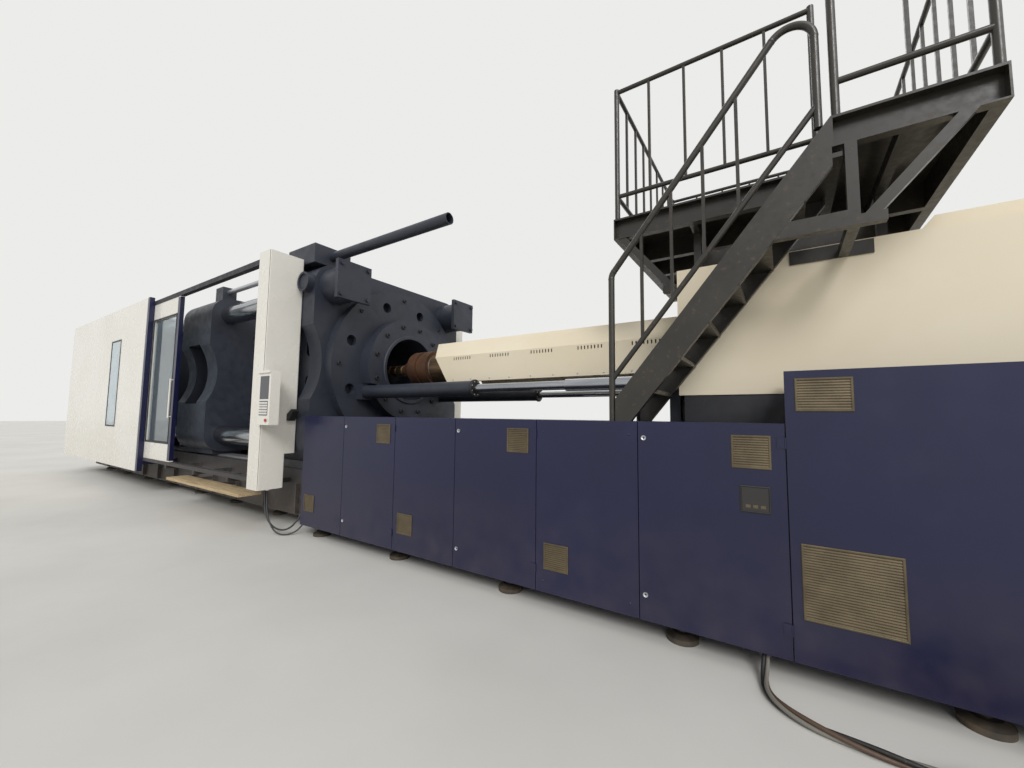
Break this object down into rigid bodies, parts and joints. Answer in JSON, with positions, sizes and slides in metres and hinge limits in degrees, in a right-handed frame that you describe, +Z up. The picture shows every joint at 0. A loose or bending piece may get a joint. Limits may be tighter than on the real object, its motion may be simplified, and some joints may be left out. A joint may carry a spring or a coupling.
{
  "type": "injection moulding machine",
  "caption": "Horizontal injection moulding machine with a tie-bar clamp, sliding guard gates, screw injection unit, cabinets and a railed service platform.",
  "frame": {"origin": "on the floor under the middle of the machine's box, where the fixed platen's mould face crosses the centre line", "axes": "+X along the machine towards the injection end, -Y towards the operator, +Z up"},
  "size_m": [19.4, 4.65, 4.794],
  "materials": {
    "platen_paint": "satin blue-grey machine paint over castings",
    "bed_paint": "dark satin machine paint",
    "chrome": "hard chrome, lightly oiled",
    "ground_steel": "ground steel",
    "black_steel": "black oxide steel",
    "white_paint": "warm white powder coat",
    "navy_paint": "navy powder coat",
    "cream_paint": "cream powder coat",
    "dark_frame": "near-black enamel on rolled steel",
    "heater_metal": "heat-tinted steel bands",
    "copper_head": "heat-browned metal",
    "screen_glass": "dark glossy screen",
    "clear_glass": "clear sheet",
    "black_plastic": "matt black moulding",
    "red_plastic": "glossy red",
    "grey_hose": "grey corrugated hose",
    "cable_jacket": "black cable jacket",
    "wood": "worn plank"
  },
  "bodies": {
    "root": {"clamp_bed": "bed_paint", "slide_ways": "ground_steel", "injection_bed": "bed_paint", "levelling_mounts": "black_steel", "fixed_platen": "platen_paint", "tie_bars": "chrome", "tie_bar_nuts": "platen_paint", "retaining_plates": "platen_paint", "rear_platen": "platen_paint", "clamp_cylinder": "platen_paint", "platen_cap": "platen_paint", "safety_guide": "platen_paint", "operator_column": "white_paint", "rear_column": "white_paint", "panel_box": "white_paint", "panel_screen": "screen_glass", "plug_hood": "black_plastic", "gate_tracks": "bed_paint", "cover_posts": "navy_paint", "clamp_cover_front": "white_paint", "clamp_cover_rear": "white_paint", "cover_windows": "clear_glass", "step_board": "wood", "low_cabinet": "navy_paint", "cabinet_panels": "navy_paint", "tall_cabinet": "navy_paint", "shift_cylinders": "platen_paint", "drive_cover": "cream_paint", "platform": "dark_frame", "platform_rails": "dark_frame", "stairs": "dark_frame", "stair_rail": "dark_frame", "oil_tank": "navy_paint", "column_loop_1": "grey_hose", "column_loop_2": "grey_hose", "main_cable": "cable_jacket", "main_coil": "cable_jacket", "cable_plug": "black_plastic"},
    "carriage": {"carriage": "platen_paint", "bearing_housing": "platen_paint", "barrel": "ground_steel", "heater_bands": "heater_metal", "nozzle": "copper_head", "barrel_guard": "cream_paint", "shift_rods": "chrome", "injection_cylinders": "platen_paint"},
    "drive": {"drive_plate": "platen_paint", "screw_motor": "platen_paint"},
    "screw": {"screw": "ground_steel"},
    "moving_platen": {"moving_platen": "platen_paint", "clamp_ram": "chrome", "safety_rod": "ground_steel"},
    "ejector": {"ejector": "ground_steel"},
    "gate_front": {"gate_front": "white_paint", "gate_window": "clear_glass"},
    "gate_rear": {"gate_rear": "white_paint"},
    "door_1": {"cabinet_door_1": "navy_paint"},
    "door_2": {"cabinet_door_2": "navy_paint"},
    "door_3": {"cabinet_door_3": "navy_paint"},
    "stop_button": {"emergency_stop": "red_plastic"}
  },
  "joints": [
    {"name": "platen_slide", "type": "slide", "parent": "root", "child": "moving_platen", "axis": [1, 0, 0], "range_m": [-0.5, 1.3]},
    {"name": "ejector_slide", "type": "slide", "parent": "moving_platen", "child": "ejector", "axis": [1, 0, 0], "range_m": [0, 0.3]},
    {"name": "gate_front_slide", "type": "slide", "parent": "root", "child": "gate_front", "axis": [1, 0, 0], "range_m": [0, 3]},
    {"name": "gate_rear_slide", "type": "slide", "parent": "root", "child": "gate_rear", "axis": [1, 0, 0], "range_m": [0, 3]},
    {"name": "carriage_slide", "type": "slide", "parent": "root", "child": "carriage", "axis": [-1, 0, 0], "range_m": [-0.15, 0.75]},
    {"name": "inject_slide", "type": "slide", "parent": "carriage", "child": "drive", "axis": [-1, 0, 0], "range_m": [0, 0.8]},
    {"name": "screw_spin", "type": "hinge", "parent": "drive", "child": "screw", "pos_m": [8.2, 0, 2.33], "axis": [1, 0, 0], "continuous": true},
    {"name": "door_1_hinge", "type": "hinge", "parent": "root", "child": "door_1", "pos_m": [6.6, -1.606, 0.86], "axis": [0, 0, 1], "range_deg": [0, 110]},
    {"name": "door_2_hinge", "type": "hinge", "parent": "root", "child": "door_2", "pos_m": [4.81, -1.606, 0.86], "axis": [0, 0, 1], "range_deg": [0, 110]},
    {"name": "door_3_hinge", "type": "hinge", "parent": "root", "child": "door_3", "pos_m": [3.02, -1.606, 0.86], "axis": [0, 0, 1], "range_deg": [0, 110]},
    {"name": "stop_push", "type": "slide", "parent": "root", "child": "stop_button", "axis": [0, 1, 0], "range_m": [0, 0.008]}
  ]
}
